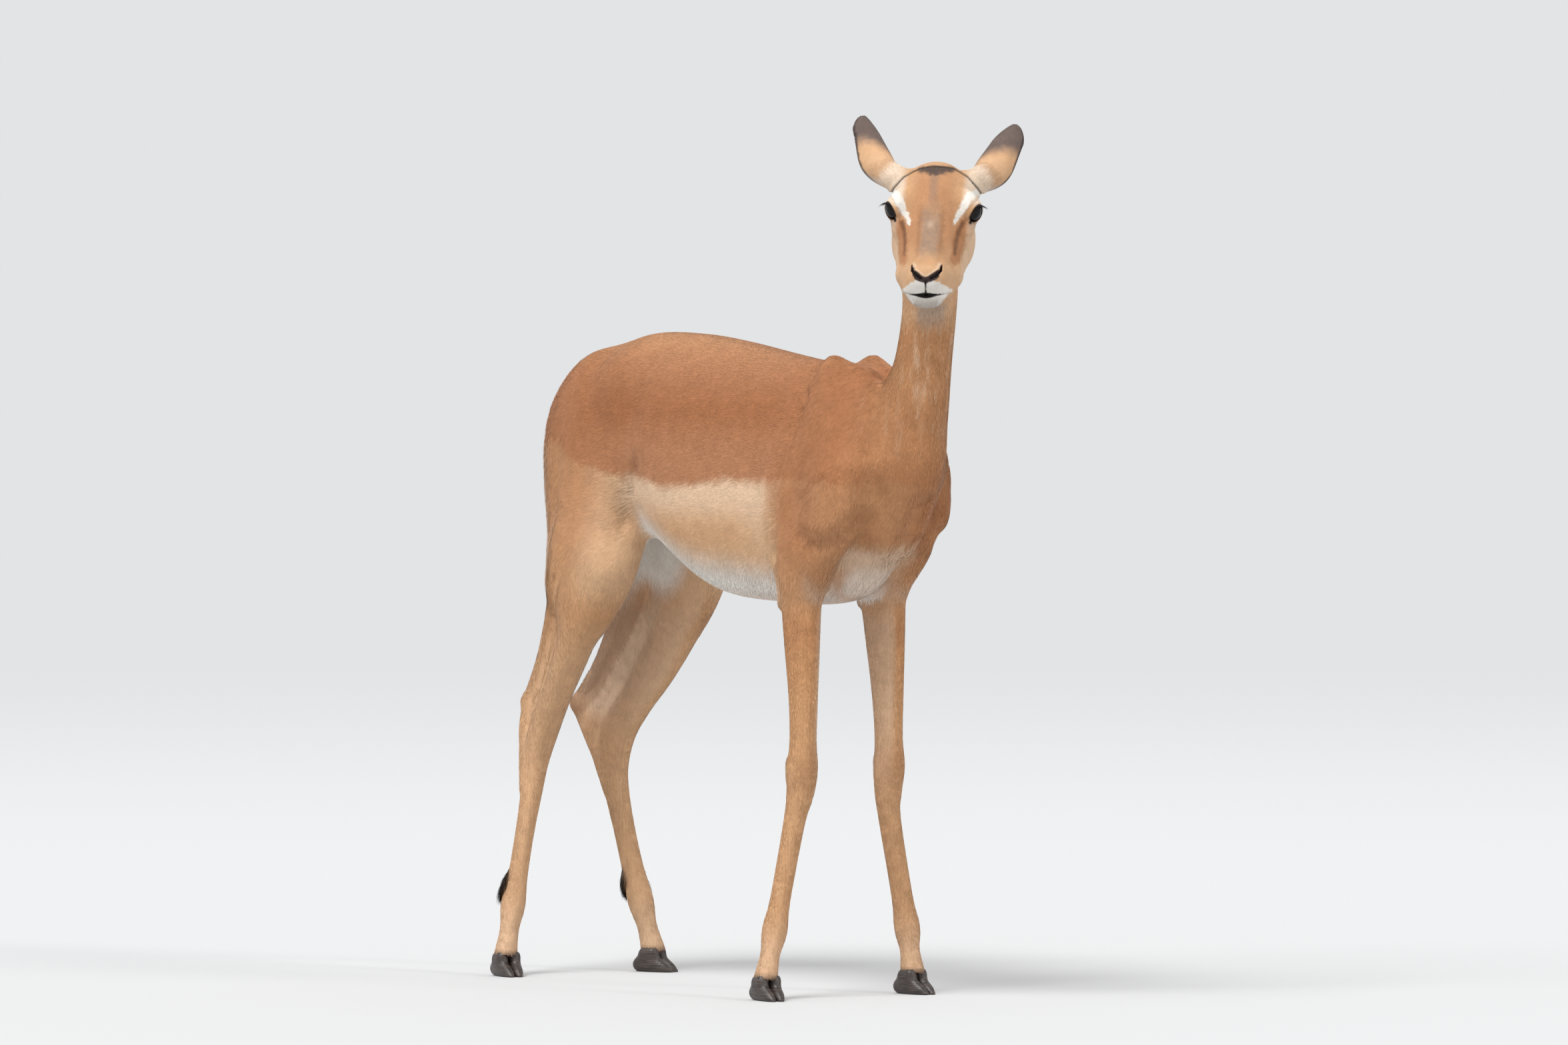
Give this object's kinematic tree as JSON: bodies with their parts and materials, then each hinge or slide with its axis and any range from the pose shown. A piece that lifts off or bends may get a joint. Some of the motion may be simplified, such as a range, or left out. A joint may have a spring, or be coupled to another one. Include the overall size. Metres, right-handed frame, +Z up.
{
  "type": "standing impala",
  "caption": "Life-size standing antelope ewe without horns, head turned to its right, for display on a level floor.",
  "frame": {"origin": "on the floor, at the middle of the bounding box's underside", "axes": "+Z up, the trunk faces -Y, the animal's left side is towards +X"},
  "size_m": [0.3054, 1.0627, 1.1933],
  "materials": {
    "coat": "short flat hair, reddish saddle, fawn flanks, white belly",
    "eye": "wet, dark brown, almost black",
    "hoof": "dark horn, fine growth rings"
  },
  "bodies": {
    "root": {"ear_left": "coat", "ear_right": "coat", "eye_left": "eye", "eye_right": "eye", "head": "coat", "neck": "coat", "trunk": "coat", "tail": "coat", "fore_left_forearm": "coat", "fore_left_cannon": "coat", "fore_left_pastern": "coat", "fore_left_claw_inner": "hoof", "fore_left_claw_outer": "hoof", "fore_right_forearm": "coat", "fore_right_cannon": "coat", "fore_right_pastern": "coat", "fore_right_claw_inner": "hoof", "fore_right_claw_outer": "hoof", "hind_left_gaskin": "coat", "hind_left_cannon": "coat", "hind_left_pastern": "coat", "hind_left_claw_inner": "hoof", "hind_left_claw_outer": "hoof", "hind_right_gaskin": "coat", "hind_right_cannon": "coat", "hind_right_pastern": "coat", "hind_right_claw_inner": "hoof", "hind_right_claw_outer": "hoof"}
  },
  "joints": []
}
